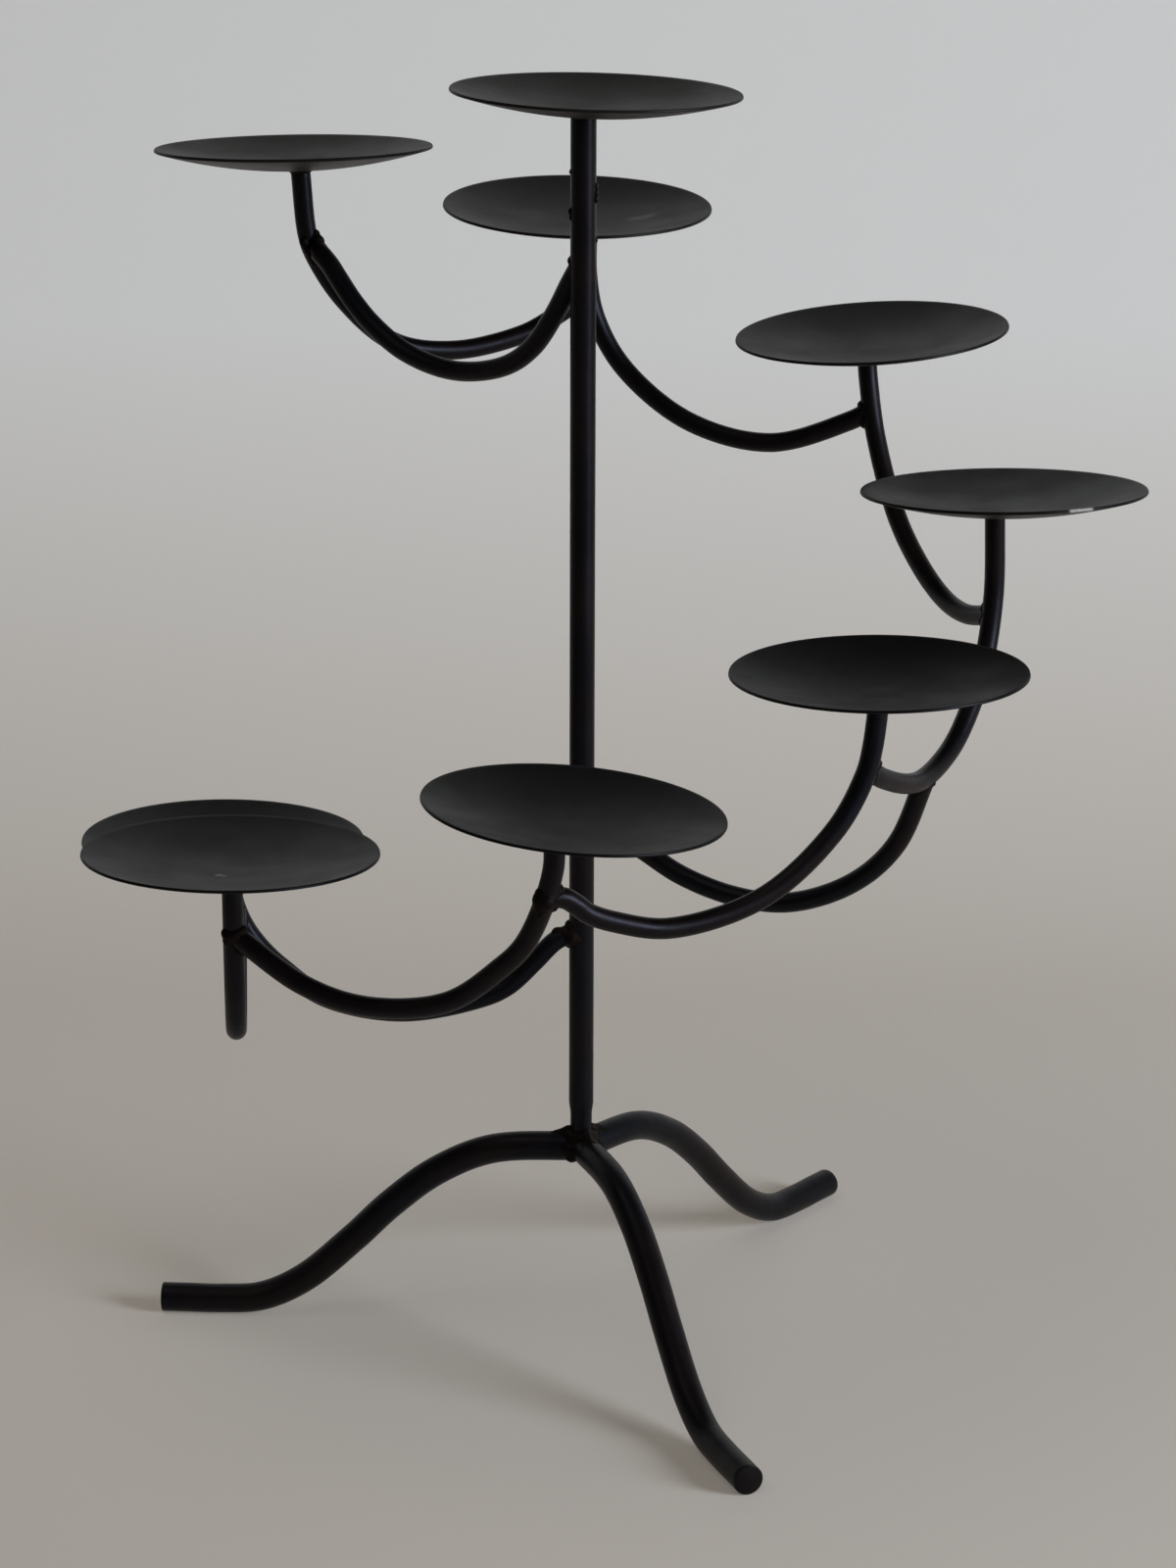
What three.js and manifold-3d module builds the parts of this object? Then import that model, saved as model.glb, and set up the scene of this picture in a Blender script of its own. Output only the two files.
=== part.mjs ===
import * as THREE from "three";
import { mergeVertices } from "three/addons/utils/BufferGeometryUtils.js";
import Module from "manifold-3d";

// A welded iron candelabra, in millimetres, +Z up, the stem's foot over the point 0, 0 until
// the last step. Round bars: three legs carry a stem, and nine shallow dishes go down round it in
// a spiral. Each dish after the first stands on a bent arm whose far end is welded to the next arm.

// Round bar stock and sheet. The stem narrows a little just above the legs.
const stemDiameter = 10;
const stemFootDiameter = 8.8;
const stemFootLength = 9;
const legDiameter = 12;
const armDiameter = 8;
const sheetThickness = 1.2;

// A dish is a disc pressed to a shallow bowl, with a small flat in the middle for the candle.
const dishDiameter = 112;
const dishDepth = 8;
const seatDiameter = 16;

// Welded pieces keep this clearance, and a bead of weld metal stands round each joint.
const clearance = 0.3;
const beadWidth = 1.7;
const beadLength = 2.8;
const lapBeadDiameter = 12;
const hubBeadDiameter = 15;

// The first dish stands on the stem, a little off its axis.
const topDish = { x: 4.8, y: -0.6, rim: 510, leanX: 1.5, leanY: 0.4 };
const spiralRadius = 150;

// The other dishes in their order down the spiral: the turn round the stem in degrees, the reach as
// a share of the spiral's radius, how far the rim lies below the first one, how far the dish leans
// towards +X and +Y in degrees, and how far its post stands from the dish's middle towards +X.
// Each arm's bend runs in the upright plane between its own post and the next one. A bend point is
// a share of the way to the next post, and how far it lies below the rim of the arm's own dish.
// The arm ends on the next post, this far below the rim of the next dish.
const arms = [
  {
    dish: { turn: 142.9, reach: 0.978, drop: 34.7, leanX: -0.8, leanY: 3.2 },
    post: 2.5,
    bend: [[0.02, 35.5], [0.04, 43.5], [0.14, 63.7], [0.31, 83], [0.52, 88.6], [0.76, 84.3], [0.86, 78.9]],
    end: 36.5,
  },
  {
    dish: { turn: 91.01, reach: 0.9468, drop: 66.5, leanX: 1, leanY: -3.9 },
    post: 4.5,
    bend: [[0, 30.4], [0.03, 48], [0.13, 68], [0.36, 88.3], [0.65, 94.4], [0.92, 82.5]],
    end: 32.1,
  },
  {
    dish: { turn: 39.69, reach: 1.0283, drop: 111.3, leanX: -4, leanY: -1.8 },
    post: -2,
    bend: [[0.02, 20], [0.09, 42.5], [0.27, 71.8], [0.48, 88.9], [0.67, 97.3], [0.82, 98.5]],
    end: 49.3,
  },
  {
    dish: { turn: -0.94, reach: 1.0988, drop: 154.6, leanX: -1, leanY: 4.1 },
    post: -3.2,
    bend: [[-0.01, 43.5], [0.065, 70.5], [0.165, 84.2], [0.32, 96.3], [0.58, 102], [0.88, 92]],
    end: 36.7,
  },
  {
    dish: { turn: -42.18, reach: 0.9949, drop: 201.8, leanX: -0.8, leanY: 0.7 },
    post: 0.6,
    bend: [
      [0.02, 29.5], [0.04, 39.7], [0.13, 60], [0.345, 82.8], [0.625, 90.5],
      [0.798, 85.2], [0.876, 80.6], [0.91, 76.8], [0.947, 73.5],
    ],
    end: 34.7,
  },
  {
    dish: { turn: -91.06, reach: 1.0088, drop: 239.3, leanX: 5.1, leanY: 0.7 },
    post: -7.6,
    bend: [[0, 24], [0.08, 51], [0.165, 62], [0.33, 81], [0.585, 86.8], [0.78, 81.5]],
    end: 32.3,
  },
  {
    dish: { turn: -141.19, reach: 1.1285, drop: 270.9, leanX: 0.8, leanY: 3 },
    post: 0.3,
    bend: [[0, 26], [0.03, 45], [0.085, 63], [0.185, 77], [0.42, 82.5], [0.7, 73.5]],
    end: 29,
  },
  {
    dish: { turn: -175.36, reach: 0.9558, drop: 295.9, leanX: 0.9, leanY: 0.8 },
    post: 1.1,
    bend: [
      [0.02, 27.5], [0.05, 38], [0.095, 47.2], [0.15, 55.2], [0.27, 68.3],
      [0.49, 75.4], [0.73, 69.5], [0.795, 64.8], [0.865, 55.3], [0.928, 46.3],
    ],
    end: 42,
  },
];

// The upper brace hangs from the stem to the post of the second dish, in front of which its end is
// lapped a little to the side, and the lower brace from the stem to the bend of the fifth dish's
// arm. Each starts this far below the rim of the dish that it helps to carry. A bend point is a
// share of the way out and how far it lies below that start.
const upperBrace = {
  start: 30.3,
  bend: [
    [0.047, 10], [0.104, 23.1], [0.187, 37.6], [0.291, 46.7], [0.478, 51.6],
    [0.665, 47.7], [0.8, 39.6], [0.893, 31], [0.972, 22.7],
  ],
  end: 45.8,
  lap: 1.5,
};
const lowerBrace = {
  start: 133.4,
  bend: [[0.07, 4.5], [0.18, 12.5], [0.3, 21.4], [0.46, 27.2], [0.62, 26.7], [0.8, 15.2], [0.92, -2.5]],
  endShare: 0.69,
};

// A leg leaves the middle nearly level, bends down and lies flat on the table at its end. A bend
// point is a share of the way out and a share of the height that is left.
const hubHeight = 78.5;
const footReach = 175;
const legBend = [
  [0.21, 0.966], [0.34, 0.825], [0.45, 0.614], [0.54, 0.397], [0.66, 0.141], [0.76, 0.022], [0.86, 0], [0.94, 0],
];
const legs = [
  { name: "leg_left", turn: 176.4, reach: 1 },
  { name: "leg_front", turn: 291.8, reach: 0.985 },
  { name: "leg_back", turn: 411.5, reach: 1.01 },
];

// Facets
const barSides = 12;
const armSteps = 16;
const braceSteps = 18;
const legSteps = 13;
const dishSides = 32;
const barTolerance = 0.04;
const weldTolerance = 0.01;

const wasm = await Module();
wasm.setup();

const ironPaint = new THREE.MeshStandardMaterial({ color: 0x1b1b1c, roughness: 0.55, metalness: 0.4 });
const weldPaint = new THREE.MeshStandardMaterial({ color: 0x201c19, roughness: 0.7, metalness: 0.35 });
const candelabra = new THREE.Group();

// A closed geometry as a solid, for cutting.
function solidOf(geometry) {
  const bare = geometry.clone();
  bare.deleteAttribute("normal");
  bare.deleteAttribute("uv");
  const joined = mergeVertices(bare, 1e-4);
  const solid = new wasm.Manifold(
    new wasm.Mesh({
      numProp: 3,
      vertProperties: joined.attributes.position.array,
      triVerts: new Uint32Array(joined.index.array),
    }),
  );
  return solid;
}

// Adds a solid to the candelabra as a named mesh, without the crumbs that a cut can leave.
function addPiece(name, solid, material, tolerance) {
  const bodies = solid.decompose().sort((a, b) => b.volume() - a.volume());
  const cut = bodies[0].simplify(tolerance).getMesh();
  const geometry = new THREE.BufferGeometry();
  geometry.setAttribute("position", new THREE.BufferAttribute(cut.vertProperties, 3));
  geometry.setIndex(new THREE.BufferAttribute(cut.triVerts, 1));
  geometry.computeVertexNormals();
  const mesh = new THREE.Mesh(geometry, material);
  mesh.name = name;
  candelabra.add(mesh);
}

const addIron = (name, solid) => addPiece(name, solid, ironPaint, barTolerance);
const addWeld = (name, solid) => addPiece(name, solid, weldPaint, weldTolerance);

// A round bar along a curve.
function bar(path, diameter, steps) {
  const section = new THREE.Shape();
  section.absarc(0, 0, diameter / 2, 0, 2 * Math.PI, false);
  const geometry = new THREE.ExtrudeGeometry(section, {
    extrudePath: path,
    steps,
    curveSegments: barSides / 2,
    bevelEnabled: false,
  });
  return solidOf(geometry);
}

function lathe(points, sides) {
  const geometry = new THREE.LatheGeometry(points, sides);
  geometry.rotateX(Math.PI / 2);
  return geometry;
}

// A collar of weld metal round the end of a bar, standing at the origin with the bar towards +Z.
// The heights are measured square to what the bar is welded to. The collar starts a little inside
// that surface, which is cut out of it later, and its end runs parallel to the surface.
function collar(diameter, start, surface, square) {
  const inner = diameter / 2 + 1.3 * clearance;
  const outer = inner + beadWidth;
  const profile = [
    new THREE.Vector2(inner, start),
    new THREE.Vector2(outer, start),
    new THREE.Vector2(outer, surface + 0.2 * beadLength),
    new THREE.Vector2(inner + 0.45 * beadWidth, surface + 0.55 * beadLength),
    new THREE.Vector2(inner, surface + beadLength),
    new THREE.Vector2(inner, start),
  ];
  const slant = new THREE.Matrix4().set(
    1, 0, 0, 0,
    0, 1, 0, 0,
    -square.x / square.z, -square.y / square.z, 1 / square.z, 0,
    0, 0, 0, 1,
  );
  return lathe(profile, barSides).applyMatrix4(slant);
}

// Works out where the middle of each dish's rim is.
for (const { dish } of arms) {
  const angle = THREE.MathUtils.degToRad(dish.turn);
  dish.x = spiralRadius * dish.reach * Math.cos(angle);
  dish.y = spiralRadius * dish.reach * Math.sin(angle);
  dish.rim = topDish.rim - dish.drop;
}

// Turns a dish's own frame, its rim's middle at 0 and its rim level, into its place.
function dishPlace(dish) {
  const up = new THREE.Vector3(
    Math.sin(THREE.MathUtils.degToRad(dish.leanX)),
    Math.sin(THREE.MathUtils.degToRad(dish.leanY)),
    1,
  ).normalize();
  const turn = new THREE.Quaternion().setFromUnitVectors(new THREE.Vector3(0, 0, 1), up);
  return new THREE.Matrix4().compose(
    new THREE.Vector3(dish.x, dish.y, dish.rim),
    turn,
    new THREE.Vector3(1, 1, 1),
  );
}

// The bowl's inner surface at a distance from its middle, flat in the seat.
function bowlHeight(radius) {
  const seat = seatDiameter / 2;
  const rim = dishDiameter / 2;
  const share = Math.max(0, (radius - seat) / (rim - seat));
  return -dishDepth * (1 - share * (2 * seat + share * (rim - seat)) / (rim + seat));
}

const dishRings = [0, 0.38, 0.7, 1].map(
  (share) => seatDiameter / 2 + (share * (dishDiameter - seatDiameter)) / 2,
);

function dishSolid(dish) {
  const below = dishRings.map((r) => new THREE.Vector2(r, bowlHeight(r) - sheetThickness));
  const inside = dishRings.map((r) => new THREE.Vector2(r, bowlHeight(r))).reverse();
  const profile = [
    new THREE.Vector2(0, -dishDepth - sheetThickness),
    ...below,
    ...inside,
    new THREE.Vector2(0, -dishDepth),
  ];
  return solidOf(lathe(profile, dishSides).applyMatrix4(dishPlace(dish)));
}

// Trims what stands under a dish to the flat of its underside, with the clearance.
function trimUnderDish(solid, dish) {
  const place = dishPlace(dish);
  const underside = new THREE.Vector3(0, 0, -dishDepth - sheetThickness - clearance).applyMatrix4(place);
  const down = new THREE.Vector3(0, 0, -1).transformDirection(place);
  return solid.trimByPlane(down.toArray(), down.dot(underside));
}

// The first point of a curve, coming from its start, at or below a height.
function pointAtHeight(curve, height) {
  const points = curve.getSpacedPoints(400);
  return points.find((p) => p.z <= height) ?? points[points.length - 1];
}

// Points at shares of the level way from one place to another, each with its own height.
function pointsBetween(from, to, outline) {
  return outline.map(([share, height]) => {
    const p = new THREE.Vector3().lerpVectors(from, to, share);
    p.z = height;
    return p;
  });
}

const smooth = (points) => new THREE.CatmullRomCurve3(points, false, "centripetal");

// Curves of the arms, from the last up, because each ends on the next one's post.
const armCurves = [];
for (let i = arms.length - 1; i >= 0; i--) {
  const { dish, post, bend, end } = arms[i];
  const next = arms[i + 1];
  const top = new THREE.Vector3(dish.x + post, dish.y, dish.rim - dishDepth);
  const foot = next
    ? pointAtHeight(armCurves[i + 1], next.dish.rim - end)
    : new THREE.Vector3(0, 0, dish.rim - end);
  const outline = bend.map(([share, drop]) => [share, dish.rim - drop]);
  armCurves[i] = smooth([top, ...pointsBetween(top, foot, outline), foot]);
}

// Arms, each coped to the post of the next one, and to the stem at the end of the last.
const cleared = (diameter) => diameter + 2 * clearance;
const stemTop = new THREE.Vector3(0, 0, topDish.rim - dishDepth);
const stemBottom = new THREE.Vector3(0, 0, hubHeight + legDiameter / 2 + clearance);
const stemCutter = stemSolid(clearance);
const armCutters = armCurves.map((curve) => bar(curve, cleared(armDiameter), armSteps));

// The stem, wider by a margin all round, and drawn down to the table.
function stemSolid(margin) {
  const foot = stemFootDiameter / 2 + margin;
  const full = stemDiameter / 2 + margin;
  const profile = [
    new THREE.Vector2(0, 0),
    new THREE.Vector2(foot, 0),
    new THREE.Vector2(foot, stemBottom.z),
    new THREE.Vector2(full, stemBottom.z + stemFootLength),
    new THREE.Vector2(full, stemTop.z),
    new THREE.Vector2(0, stemTop.z),
  ];
  return solidOf(lathe(profile, barSides));
}

// The collar round one end of a bar, along the stretch of its curve between two heights over what
// it is welded to, which is cut out of the collar by the function given.
function endWeld(curve, atEnd, diameter, square, start, surface, cut) {
  const points = curve.getSpacedPoints(800);
  if (atEnd) points.reverse();
  const heightOf = (p) => p.clone().sub(points[0]).dot(square);
  const near = points.find((p) => heightOf(p) >= surface);
  const far = points.find((p) => heightOf(p) >= surface + beadLength);
  const away = far.clone().sub(near).normalize();
  const tip = near.clone().addScaledVector(away, -heightOf(near) / away.dot(square));
  const turn = new THREE.Quaternion().setFromUnitVectors(new THREE.Vector3(0, 0, 1), away);
  const ownSquare = square.clone().applyQuaternion(turn.clone().invert());
  const ring = collar(diameter, start, surface, ownSquare).applyQuaternion(turn);
  return cut(solidOf(ring.translate(tip.x, tip.y, tip.z)));
}

// A bar ends on the axis of the bar that carries it. Other cutters may trim the collar too.
function weldToBar(curve, atEnd, carrier, ...others) {
  const away = curve.getTangentAt(atEnd ? 1 : 0).multiplyScalar(atEnd ? -1 : 1);
  const square = away.projectOnPlane(carrier.along).normalize();
  const radius = carrier.diameter / 2;
  const cut = (ring) => [carrier.cutter, ...others].reduce((left, cutter) => left.subtract(cutter), ring);
  return endWeld(curve, atEnd, armDiameter, square, radius / 2, radius, cut);
}

// A bar's axis starts at the dish's inner face, so the collar starts within the sheet.
function weldToDish(curve, diameter, dish) {
  const down = new THREE.Vector3(0, 0, -1).transformDirection(dishPlace(dish));
  return endWeld(curve, false, diameter, down, 0, sheetThickness + clearance, (ring) => trimUnderDish(ring, dish));
}

// What carries the end of a bar: the stem, or an arm near a point of its axis.
const stemCarrier = { cutter: stemCutter, diameter: stemDiameter, along: new THREE.Vector3(0, 0, 1) };

function armCarrier(i, point) {
  const points = armCurves[i].getSpacedPoints(400);
  const gaps = points.map((p) => p.distanceTo(point));
  const nearest = gaps.indexOf(Math.min(...gaps)) / 400;
  return { cutter: armCutters[i], diameter: armDiameter, along: armCurves[i].getTangentAt(nearest) };
}

arms.forEach(({ dish }, i) => {
  const number = i + 2;
  const isLast = i + 1 === arms.length;
  const carrier = isLast ? stemCarrier : armCarrier(i + 1, armCurves[i].getPointAt(1));
  const arm = bar(armCurves[i], armDiameter, armSteps).subtract(carrier.cutter);
  addIron(`arm_${number}`, trimUnderDish(arm, dish));
  addIron(`dish_${number}`, dishSolid(dish));
  addWeld(`weld_dish_${number}`, weldToDish(armCurves[i], armDiameter, dish));
  addWeld(`weld_arm_${number}`, weldToBar(armCurves[i], true, carrier, armCutters[i]));
});

// Braces, welded to the stem at one end
function braceCurve(start, bend, end) {
  const outline = bend.map(([share, drop]) => [share, start.z - drop]);
  return smooth([start, ...pointsBetween(start, end, outline), end]);
}

const upperStart = new THREE.Vector3(0, 0, arms[0].dish.rim - upperBrace.start);
const post2 = pointAtHeight(armCurves[0], arms[0].dish.rim - upperBrace.end);
const upperEnd = new THREE.Vector3(upperBrace.lap, -armDiameter - clearance, 0).add(post2);
const upperCurve = braceCurve(upperStart, upperBrace.bend, upperEnd);
const lowerStart = new THREE.Vector3(0, 0, arms[3].dish.rim - lowerBrace.start);
const arm5 = armCurves[3].getPointAt(lowerBrace.endShare);
const lowerCurve = braceCurve(lowerStart, lowerBrace.bend, arm5);

const upperBar = bar(upperCurve, armDiameter, braceSteps);
const lowerBar = bar(lowerCurve, armDiameter, braceSteps);
const upperCutter = bar(upperCurve, cleared(armDiameter), braceSteps);
const endWay = upperCurve.getTangentAt(1);
const squareEnd = upperBar.trimByPlane(endWay.clone().negate().toArray(), clearance - endWay.dot(upperEnd));
addIron("brace_upper", squareEnd.subtract(stemCutter).subtract(armCutters[0]));
addIron("brace_lower", lowerBar.subtract(stemCutter).subtract(armCutters[3]));
addWeld("weld_brace_upper_to_stem", weldToBar(upperCurve, false, stemCarrier));
addWeld("weld_brace_lower_to_stem", weldToBar(lowerCurve, false, stemCarrier));
addWeld("weld_brace_lower_to_arm", weldToBar(lowerCurve, true, armCarrier(3, arm5)));

// A ball of weld metal at a point, cut by the pieces that it joins.
function weldBall(point, diameter, cutters) {
  const ball = new THREE.SphereGeometry(diameter / 2, 12, 8).translate(point.x, point.y, point.z);
  return cutters.reduce((left, cutter) => left.subtract(cutter), solidOf(ball));
}

const lap = post2.clone().lerp(upperEnd, 0.5);
addWeld("weld_brace_upper_to_arm", weldBall(lap, lapBeadDiameter, [armCutters[0], upperCutter]));

// Legs, mitred where they meet under the stem
function heading(turn) {
  const angle = THREE.MathUtils.degToRad(turn);
  return new THREE.Vector3(Math.cos(angle), Math.sin(angle), 0);
}

const legCurves = legs.map(({ turn, reach }) => {
  const start = new THREE.Vector3(0, 0, hubHeight);
  const foot = heading(turn).multiplyScalar(footReach * reach);
  foot.z = legDiameter / 2;
  const outline = legBend.map(([share, height]) => [share, foot.z + height * (start.z - foot.z)]);
  return smooth([start, ...pointsBetween(start, foot, outline), foot]);
});

// The wedge of room that a leg may fill between the mitres with its two neighbours.
function wedge(i) {
  const before = legs[(i + 2) % 3].turn + (i === 0 ? -360 : 0);
  const after = legs[(i + 1) % 3].turn + (i === 2 ? 360 : 0);
  const own = legs[i].turn;
  const reach = 2 * footReach;
  const tip = heading(own).multiplyScalar(clearance / 2 / Math.sin(Math.PI / 3));
  const corners = [(own + before) / 2, own, (own + after) / 2].map((turn) => heading(turn).multiplyScalar(reach).add(tip));
  const outline = new THREE.Shape([tip, ...corners].map((p) => new THREE.Vector2(p.x, p.y)));
  const geometry = new THREE.ExtrudeGeometry(outline, { depth: 2 * hubHeight, bevelEnabled: false });
  return solidOf(geometry);
}

const legCutters = legCurves.map((curve) => bar(curve, cleared(legDiameter), legSteps));
legs.forEach(({ name }, i) => {
  addIron(name, bar(legCurves[i], legDiameter, legSteps).intersect(wedge(i)));
});

// Stem, its dish and the welds at its ends
const stemAxis = new THREE.LineCurve3(stemTop, stemBottom);
const stem = stemSolid(0).trimByPlane([0, 0, 1], stemBottom.z);
addIron("stem", trimUnderDish(stem, topDish));
addIron("dish_1", dishSolid(topDish));
addWeld("weld_dish_1", weldToDish(stemAxis, stemDiameter, topDish));

addWeld("weld_hub", weldBall(stemBottom, hubBeadDiameter, [stemCutter, ...legCutters]));

// Puts the middle of the whole part's underside at the origin.
const box = new THREE.Box3().setFromObject(candelabra);
const middle = box.getCenter(new THREE.Vector3());
candelabra.children.forEach((mesh) => mesh.geometry.translate(-middle.x, -middle.y, -box.min.z));

export default candelabra;
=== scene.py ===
import math

import bpy
from mathutils import Matrix, Vector


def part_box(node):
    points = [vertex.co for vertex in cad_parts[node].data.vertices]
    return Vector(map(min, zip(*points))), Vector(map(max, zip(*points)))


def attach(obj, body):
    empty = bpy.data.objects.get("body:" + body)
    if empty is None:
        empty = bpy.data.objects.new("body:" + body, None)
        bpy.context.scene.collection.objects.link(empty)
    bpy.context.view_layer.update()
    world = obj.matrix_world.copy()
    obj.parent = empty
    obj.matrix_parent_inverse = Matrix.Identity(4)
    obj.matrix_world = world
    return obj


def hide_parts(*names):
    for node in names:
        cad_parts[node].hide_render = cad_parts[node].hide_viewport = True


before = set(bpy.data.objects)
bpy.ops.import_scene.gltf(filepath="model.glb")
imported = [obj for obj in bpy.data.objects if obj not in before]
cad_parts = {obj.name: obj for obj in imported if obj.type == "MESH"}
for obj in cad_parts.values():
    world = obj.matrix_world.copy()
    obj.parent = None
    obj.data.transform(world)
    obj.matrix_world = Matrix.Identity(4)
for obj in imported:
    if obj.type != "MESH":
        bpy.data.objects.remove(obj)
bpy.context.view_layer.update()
MM = 0.001


# The view: a long lens a little above the top dish, looking down at the stem from about 1.6 m.
# The place and the reach are in metres, the turns in radians, the lens and sensor in millimetres.
view_place = Vector((-0.01095, -1.62048, 0.72695))
view_reach = 20
view_pan = 0.0015
view_pitch = math.radians(16.887)
view_roll = math.radians(0.17)
view_lens = 97.47
view_sensor = 36

ahead = Vector((
    math.sin(view_pan) * math.cos(view_pitch),
    math.cos(view_pan) * math.cos(view_pitch),
    -math.sin(view_pitch),
))
level_right = Vector((math.cos(view_pan), -math.sin(view_pan), 0))
level_up = level_right.cross(ahead)
view_x = math.cos(view_roll) * level_right + math.sin(view_roll) * level_up
view_y = math.cos(view_roll) * level_up - math.sin(view_roll) * level_right

bpy.ops.object.camera_add(location=view_place)
camera = bpy.context.object
camera.rotation_euler = Matrix((view_x, view_y, -ahead)).transposed().to_euler()
camera.data.lens = view_lens
camera.data.sensor_width = view_sensor
camera.data.clip_end = view_reach
bpy.context.scene.camera = camera


# Places and directions. The sizes of the object are in millimetres, and its places are measured
# from the stem's axis and the table. Vectors and routes are in metres.
stem_box_low, stem_box_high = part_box("stem")
stem_axis = Vector((
    (stem_box_low.x + stem_box_high.x) / 2,
    (stem_box_low.y + stem_box_high.y) / 2,
    0,
))
upright = Vector((0, 0, 1))


def place(x, y, z):
    """A point given in millimetres from the stem's axis and the table, in metres."""
    return stem_axis + Vector((x, y, z)) * MM


def level_way(turn):
    """A level direction, turned in degrees from the right towards the back."""
    return Vector((math.cos(math.radians(turn)), math.sin(math.radians(turn)), 0))


# Nodes: the paints are built with these helpers. Each adds a node to a material and gives back
# the output that the next helper takes, or the node itself.


def colour(code):
    """A linear colour with alpha from an sRGB hex code."""
    shares = [int(code[i:i + 2], 16) / 255 for i in (1, 3, 5)]
    linear = [s / 12.92 if s <= 0.04045 else ((s + 0.055) / 1.055) ** 2.4 for s in shares]
    return (*linear, 1)


def new_material(name):
    material = bpy.data.materials.new(name)
    material.use_nodes = True
    material.node_tree.nodes.clear()
    return material


def add_node(material, kind, inputs=None, **settings):
    """Adds a node with its settings, and sets or links its inputs."""
    tree = material.node_tree
    made = tree.nodes.new(kind)
    for name, value in settings.items():
        setattr(made, name, value)
    for socket, value in (inputs or {}).items():
        if isinstance(value, bpy.types.NodeSocket):
            tree.links.new(value, made.inputs[socket])
        else:
            made.inputs[socket].default_value = value
    return made


def add_spot(material):
    """The place on the object itself."""
    return add_node(material, "ShaderNodeTexCoord").outputs["Object"]


def add_height(material, spot):
    """The height above the table, in metres."""
    return add_node(material, "ShaderNodeSeparateXYZ", {"Vector": spot}).outputs["Z"]


def add_noise(material, spot, size, detail, roughness):
    """Noise in patches of about a size in millimetres."""
    return add_node(material, "ShaderNodeTexNoise", {
        "Vector": spot, "Scale": 1 / (size * MM), "Detail": detail, "Roughness": roughness,
    }).outputs["Fac"]


def add_range(material, value, start, end, low=0, high=1):
    """Draws a value's way from start to end out to go from low to high, and no further."""
    return add_node(material, "ShaderNodeMapRange", {
        "Value": value, "From Min": start, "From Max": end, "To Min": low, "To Max": high,
    }).outputs["Result"]


def add_math(material, operation, first, second):
    node = add_node(material, "ShaderNodeMath", {0: first, 1: second}, operation=operation)
    return node.outputs["Value"]


def add_mix(material, share, first, second):
    """Mixes a share of the second colour into the first. Each is a hex code or an output."""
    first, second = (colour(tone) if isinstance(tone, str) else tone for tone in (first, second))
    node = add_node(material, "ShaderNodeMix", {0: share, 6: first, 7: second}, data_type="RGBA")
    return node.outputs[2]


def add_relief(material, height, strength, depth, under=None):
    """Bumps of a depth in millimetres, on top of the bumps under them."""
    inputs = {"Height": height, "Strength": strength, "Distance": depth * MM}
    if under is not None:
        inputs["Normal"] = under
    return add_node(material, "ShaderNodeBump", inputs).outputs["Normal"]


def add_coat(material, inputs):
    """Ends a material in a shader with these inputs."""
    shader = add_node(material, "ShaderNodeBsdfPrincipled", inputs)
    add_node(material, "ShaderNodeOutputMaterial", {"Surface": shader.outputs["BSDF"]})


# Editing: vertices and edges are picked by a test, and finished pieces are smoothed, painted and
# set in the frame. What bends by more than the smoothing angle, in degrees, stays an edge.
smooth_angle = 40


def select_only(piece):
    bpy.ops.object.select_all(action="DESELECT")
    piece.select_set(True)
    bpy.context.view_layer.objects.active = piece


def pick(piece, kind, wanted):
    """Selects the vertices or edges that a test wants, and leaves edit mode on."""
    select_only(piece)
    bpy.ops.object.mode_set(mode="EDIT")
    bpy.ops.mesh.select_mode(type={"vertices": "VERT", "edges": "EDGE"}[kind])
    bpy.ops.mesh.select_all(action="DESELECT")
    bpy.ops.object.mode_set(mode="OBJECT")
    for element in getattr(piece.data, kind):
        element.select = wanted(element)
    bpy.ops.object.mode_set(mode="EDIT")


def ends_of(piece, edge):
    return [piece.data.vertices[i].co for i in edge.vertices]


def climb_of(piece, edge):
    """How much an edge climbs from end to end, in metres."""
    start, end = ends_of(piece, edge)
    return abs(start.z - end.z)


def join_to(piece, others):
    select_only(piece)
    for other in others:
        other.select_set(True)
    bpy.ops.object.join()


def add_drop(spot, size):
    """A small ball, as a drop of metal sets, of a size in millimetres."""
    bpy.ops.mesh.primitive_ico_sphere_add(subdivisions=2, radius=size / 2 * MM, location=spot)
    return bpy.context.object


def warm_near(piece, welds, reach):
    """Writes how strongly each vertex was heated, from 1 at a weld to 0 a few reaches away."""
    heat = piece.data.attributes.new("heat", "FLOAT", "POINT")
    for vertex, value in zip(piece.data.vertices, heat.data):
        nearest = min((vertex.co - weld).length for weld in welds)
        value.value = math.exp(-((nearest / (reach * MM)) ** 2))


def finish_piece(piece, material, slot, *nodes):
    """Smooths a finished piece, gives it its paint, and sets it in the frame."""
    select_only(piece)
    bpy.ops.object.shade_smooth_by_angle(angle=math.radians(smooth_angle))
    piece.data.materials.clear()
    piece.data.materials.append(material)
    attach(piece, "root")
    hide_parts(*nodes)


# Routes: the middle line of a bent bar, as a list of points from its start to its end.
route_steps = 16


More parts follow.
